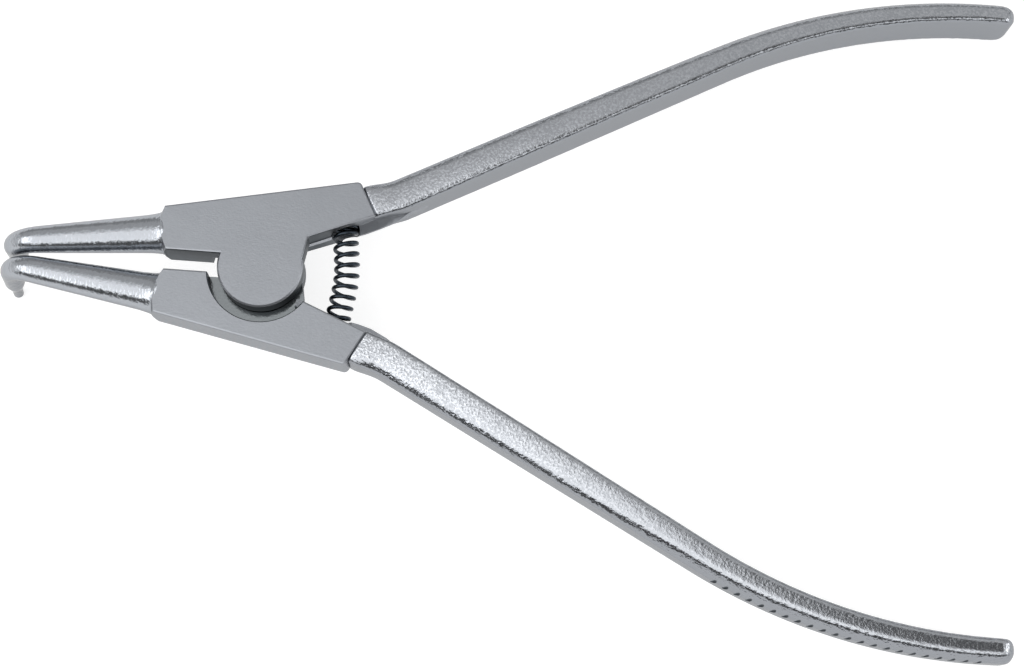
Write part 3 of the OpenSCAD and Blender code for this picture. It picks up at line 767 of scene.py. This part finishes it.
# The wire's path, worked out along the wire. Each step has its own name, what is done, and to which values.
WIRE_STEPS = (
    ("both ends", "MULTIPLY", "Closed Coils", 2.0),
    ("all coils", "ADD", "Working Coils", "both ends"),
    ("turns", "MULTIPLY", "share of wire", "all coils"),
    ("past first end", "SUBTRACT", "turns", "Closed Coils"),
    ("past middle", "SUBTRACT", "past first end", "Working Coils"),
    ("first closed", "MINIMUM", "turns", "Closed Coils"),
    ("last closed", "MAXIMUM", "past middle", 0.0),
    ("closed turns", "ADD", "first closed", "last closed"),
    ("begun turns", "MAXIMUM", "past first end", 0.0),
    ("working turns", "MINIMUM", "begun turns", "Working Coils"),
    ("closed rise", "MULTIPLY", "closed turns", "Closed Pitch"),
    ("working rise", "MULTIPLY", "working turns", "Working Pitch"),
    ("rise", "ADD", "closed rise", "working rise"),
    ("turned", "ADD", "turns", START_TURN),
    ("angle", "MULTIPLY", "turned", -2 * math.pi),
    ("angle cosine", "COSINE", "angle", 0.0),
    ("angle sine", "SINE", "angle", 0.0),
    ("across", "MULTIPLY", "Radius", "angle cosine"),
    ("upward", "MULTIPLY", "Radius", "angle sine"),
    ("share of half", "DIVIDE", "rise", "Half Length"),
    ("phase", "MULTIPLY", "share of half", math.pi),
    ("phase cosine", "COSINE", "phase", 0.0),
    ("phase sine", "SINE", "phase", 0.0),
    ("half bow", "MULTIPLY", "Bow", 0.5),
    ("swing", "SUBTRACT", 1.0, "phase cosine"),
    ("bowed", "MULTIPLY", "half bow", "swing"),
    ("bow slope", "MULTIPLY", "half bow", -math.pi),
    ("most tilt", "DIVIDE", "bow slope", "Half Length"),
    ("tilt", "MULTIPLY", "most tilt", "phase sine"),
    ("tilted rise", "MULTIPLY", "across", "tilt"),
    ("bowed across", "ADD", "across", "bowed"),
    ("along", "ADD", "rise", "tilted rise"),
    ("wire radius", "MULTIPLY", "Wire", 0.5))
worked = {socket.name: socket for socket in ins}
worked["share of wire"] = add(coil_tree, "GeometryNodeSplineParameter").outputs["Factor"]
for name, operation, a, b in WIRE_STEPS:
    worked[name] = add(coil_tree, "ShaderNodeMath", {
        0: worked.get(a, a), 1: worked.get(b, b)}, operation=operation).outputs[0]

spot = add(coil_tree, "ShaderNodeCombineXYZ", {
    "X": worked["bowed across"], "Y": worked["along"], "Z": worked["upward"]}).outputs[0]
seated = add(coil_tree, "ShaderNodeVectorMath", {0: spot, 1: ins["Centre"]}, operation="ADD").outputs[0]
helix = add(coil_tree, "GeometryNodeSetPosition", {"Geometry": fine, "Position": seated}).outputs[0]
outline = add(coil_tree, "GeometryNodeCurvePrimitiveCircle", {
    "Resolution": WIRE_SIDES, "Radius": worked["wire radius"]}).outputs["Curve"]
drawn = add(coil_tree, "GeometryNodeCurveToMesh", {
    "Curve": helix, "Profile Curve": outline, "Fill Caps": True}).outputs[0]
smooth = add(coil_tree, "GeometryNodeSetShadeSmooth", {"Geometry": drawn}).outputs[0]
solid = add(coil_tree, "GeometryNodeRealizeInstances", {"Geometry": smooth}).outputs[0]
finished = add(coil_tree, "GeometryNodeSetMaterial", {"Geometry": solid, "Material": blued_wire}).outputs[0]
add(coil_tree, "NodeGroupOutput", {"Spring": finished})

spring = put_in_scene("return_spring_wire", bpy.data.meshes.new("return_spring_wire"))
coil = spring.modifiers.new("coil", "NODES")
coil.node_group = coil_tree
set_inputs(coil, {
    "Wire": WIRE_D * MM, "Radius": (SPRING_OD - WIRE_D) / 2 * MM, "Working Coils": WORKING_COILS,
    "Closed Coils": CLOSED_COILS, "Working Pitch": WORKING_PITCH * MM, "Closed Pitch": CLOSED_PITCH * MM,
    "Half Length": (SPRING_LEN - WIRE_D) / 2 * MM, "Bow": SPRING_BOW * MM,
    "Centre": tuple(c * MM for c in SPRING_START)})
settle(spring)
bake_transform(spring)
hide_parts("return_spring")

# Studio
# A white table under the tool, which lies on its tips and on the undersides of its handle ends.
# Soft light comes from above and in front, and from a lamp at either side. Grey screens behind, and dark
# panels in front and to the right, are there for the metal to mirror.
RIGHT, BEHIND, ABOVE = Vector((1, 0, 0)), Vector((0, 1, 0)), Vector((0, 0, 1))
TIP_LOW, GRIP_LOW = Vector((-44.5, 0, -13.15)), Vector((122.0, 0, -0.95))
TABLE_R, TABLE_SIDES = 4000.0, 64


def seen_directly(tree):
    """Is 1 for the camera's own rays and for those that come off metal or through glass, else 0."""
    rays = add(tree, "ShaderNodeLightPath").outputs
    seen = rays["Is Camera Ray"]
    for kind in ("Is Glossy Ray", "Is Transmission Ray"):
        seen = add(tree, "ShaderNodeMath", {0: seen, 1: rays[kind]}, operation="MAXIMUM").outputs[0]
    return seen


def card(name, centre, across, down, width, height, colour, strength, fade=1.0):
    """A flat studio card that the camera does not see. Its light may fade towards its far end."""
    sides = ((-1, -1), (1, -1), (1, 1), (-1, 1))
    c, u, v = Vector(centre), across.normalized(), down.normalized()
    corners = [c + u * (width / 2 * i) + v * (height / 2 * j) for i, j in sides]
    mesh = bpy.data.meshes.new(name)
    mesh.from_pydata([p * MM for p in corners], [], [(0, 1, 2, 3)])
    made, tree = new_material(name)
    place = add(tree, "ShaderNodeTexCoord").outputs["Object"]
    along = add(tree, "ShaderNodeVectorMath", {
        0: place, 1: tuple(v)}, operation="DOT_PRODUCT").outputs["Value"]
    near, far = ((c.dot(v) + height / 2 * j) * MM for j in (-1, 1))
    level = add(tree, "ShaderNodeMapRange", {
        "Value": along, "From Min": near, "From Max": far,
        "To Min": strength, "To Max": strength * fade}).outputs[0]
    glow = add(tree, "ShaderNodeEmission", {"Color": linear(colour), "Strength": level})
    add(tree, "ShaderNodeOutputMaterial", {"Surface": glow.outputs[0]})
    dress(mesh, [made])
    piece = put_in_scene(name, mesh)
    piece.visible_camera = False


# White table: matt white to the light, and bright enough to the eye to leave only a soft shadow.
white_table, tree = new_material("white_table")
matt = add(tree, "ShaderNodeBsdfDiffuse", {"Color": linear("#E6E6E6")}).outputs[0]
shaded = add(tree, "ShaderNodeBsdfDiffuse", {"Color": linear("#B4B4B4")}).outputs[0]
glow = add(tree, "ShaderNodeEmission", {"Color": linear("#FFFFFF"), "Strength": 0.74}).outputs[0]
bright = add(tree, "ShaderNodeAddShader", {0: shaded, 1: glow}).outputs[0]
surface = add(tree, "ShaderNodeMixShader", {0: seen_directly(tree), 1: matt, 2: bright})
add(tree, "ShaderNodeOutputMaterial", {"Surface": surface.outputs[0]})
table_along = (GRIP_LOW - TIP_LOW).normalized()
table_ring = [TIP_LOW + (table_along * x + BEHIND * y) * TABLE_R for x, y in circle(TABLE_SIDES)]
mesh = bpy.data.meshes.new("table")
mesh.from_pydata([p * MM for p in table_ring], [], [list(range(TABLE_SIDES))])
dress(mesh, [white_table])
table = put_in_scene("table", mesh)

world = bpy.data.worlds.new("white_studio")
bpy.context.scene.world = world
world.use_nodes = True
world.node_tree.nodes.clear()
tree = world.node_tree
dim = add(tree, "ShaderNodeBackground", {"Color": linear("#FFFFFF"), "Strength": 0.6}).outputs[0]
white = add(tree, "ShaderNodeBackground", {"Color": linear("#FFFFFF"), "Strength": 1.0}).outputs[0]
surface = add(tree, "ShaderNodeMixShader", {0: seen_directly(tree), 1: dim, 2: white})
add(tree, "ShaderNodeOutputWorld", {"Surface": surface.outputs[0]})

# Cards and softbox, in millimetres. The softbox is turned a little, and its own cards go with it.
CEILING, CARD_GAP = 700.0, 20.0
SOFT_TURN, SOFT_GLOW = math.radians(13.6), 1.42
SOFT_MID, SOFT_W, SOFT_H = Vector((-300, -384, CEILING)), 900.0, 860.0
FADE_H, STRIP_W, STRIP_H, STRIP_SHIFT = 320.0, 1400.0, 170.0, 250.0
soft_across = Vector((math.cos(SOFT_TURN), math.sin(SOFT_TURN), 0))
soft_down = Vector((-math.sin(SOFT_TURN), math.cos(SOFT_TURN), 0))
fade_mid = SOFT_MID + soft_down * (SOFT_H + FADE_H) / 2
strip_mid = SOFT_MID - soft_down * (SOFT_H - STRIP_H) / 2 + soft_across * STRIP_SHIFT - ABOVE * CARD_GAP
card("grey_screen", (0, 1040, CEILING + 80), RIGHT, BEHIND, 5000, 2100, "#D9D9D9", 1.0)
card("back_screen", (0, 1400, 350), RIGHT, ABOVE, 5000, 720, "#B2B2B2", 1.0)
card("right_panel", (440, -60, CEILING), RIGHT, BEHIND, 500, 400, "#6C6C6C", 0.9)
card("front_panel", (0, -900, 330), RIGHT, ABOVE, 3000, 500, "#6A6A6A", 1.0)
card("right_lamp", (1000, 0, 450), BEHIND, ABOVE, 600, 220, "#FFFFFF", 4.0)
card("left_lamp", (-830, -330, CEILING - 40), RIGHT, BEHIND, 640, 950, "#FFFFFF", 3.4)
card("soft_fade", fade_mid, soft_across, soft_down, SOFT_W, FADE_H, "#FFFFFF", 1.5, fade=0.5)
card("softbox_back", SOFT_MID + ABOVE * CARD_GAP, soft_across, soft_down, SOFT_W, SOFT_H, "#000000", 0.0)
card("bright_strip", strip_mid, soft_across, soft_down, STRIP_W, STRIP_H, "#FFFFFF", 2.2)

soft = bpy.data.lights.new("softbox", "AREA")
soft.shape = "RECTANGLE"
soft.size, soft.size_y = SOFT_W * MM, SOFT_H * MM
soft.energy = SOFT_GLOW * 4 * soft.size * soft.size_y
softbox = put_in_scene("softbox", soft)
softbox.matrix_world = Matrix.Translation(SOFT_MID * MM) @ Matrix.Rotation(SOFT_TURN, 4, "Z")
softbox.visible_camera = False

# Camera
# It stands over the tool, a little in front of it, at the place worked out from the photograph's outlines.
# It is tilted forwards, rolled and turned by these angles from looking straight down.
VIEW_ANGLE = 31.60
CAMERA_TILT, CAMERA_ROLL, CAMERA_TURN = 13.5309, -1.8764, 3.7499
CAMERA_PLACE = Vector((37.68, -79.22, 298.0))
eye = bpy.data.cameras.new("camera")
eye.sensor_fit = "HORIZONTAL"
eye.angle = math.radians(VIEW_ANGLE)
eye.clip_start, eye.clip_end = 0.01, 20.0
camera = put_in_scene("camera", eye)
angles = Euler([math.radians(a) for a in (CAMERA_TILT, CAMERA_ROLL, CAMERA_TURN)])
camera.matrix_world = Matrix.Translation(CAMERA_PLACE * MM) @ angles.to_matrix().to_4x4()
bpy.context.scene.camera = camera
bpy.context.scene.view_settings.view_transform = "Standard"
